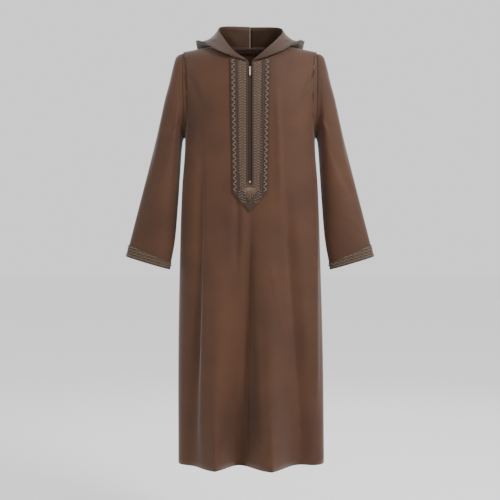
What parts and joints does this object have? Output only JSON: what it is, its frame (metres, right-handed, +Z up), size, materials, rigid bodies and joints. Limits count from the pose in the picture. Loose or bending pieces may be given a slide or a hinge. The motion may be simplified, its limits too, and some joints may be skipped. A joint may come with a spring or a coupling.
{
  "type": "djellaba robe",
  "caption": "Long hooded djellaba robe in brown cloth, with open sleeves, a hood worn down, an embroidered zip placket and embroidered cuff bands.",
  "frame": {"origin": "between the shoulders, level with the side of the neck", "axes": "+Z up, the front faces -Y, the wearer's left is +X"},
  "size_m": [0.8116, 0.3278, 1.4511],
  "materials": {
    "robe_cloth": "fine twill with a soft sheen",
    "embroidery": "dense thread embroidery",
    "braid": "twisted cord and braid",
    "zip_tape": "woven tape and coil",
    "zip_metal": "pale plated metal"
  },
  "bodies": {
    "robe": {"front_panel": "robe_cloth", "back_panel": "robe_cloth", "sleeve_left": "robe_cloth", "sleeve_right": "robe_cloth", "cuff_band_left": "embroidery", "cuff_band_right": "embroidery", "hood_left": "robe_cloth", "hood_right": "robe_cloth", "neck_tape": "braid", "placket": "embroidery", "placket_braid": "braid", "placket_cord": "braid", "zip_cord_left": "braid", "zip_cord_right": "braid", "zip_tape_left": "zip_tape", "zip_tape_right": "zip_tape", "zip_chain": "zip_tape", "zip_stop": "zip_metal", "zip_slider": "zip_metal", "zip_bridge": "zip_metal"},
    "pull_tab": {"zip_pull": "zip_metal"}
  },
  "joints": [
    {"name": "pull_swing", "type": "hinge", "parent": "robe", "child": "pull_tab", "pos_m": [0, -0.11299, -0.10192], "axis": [1, 0, 0], "range_deg": [-150, 0]}
  ]
}
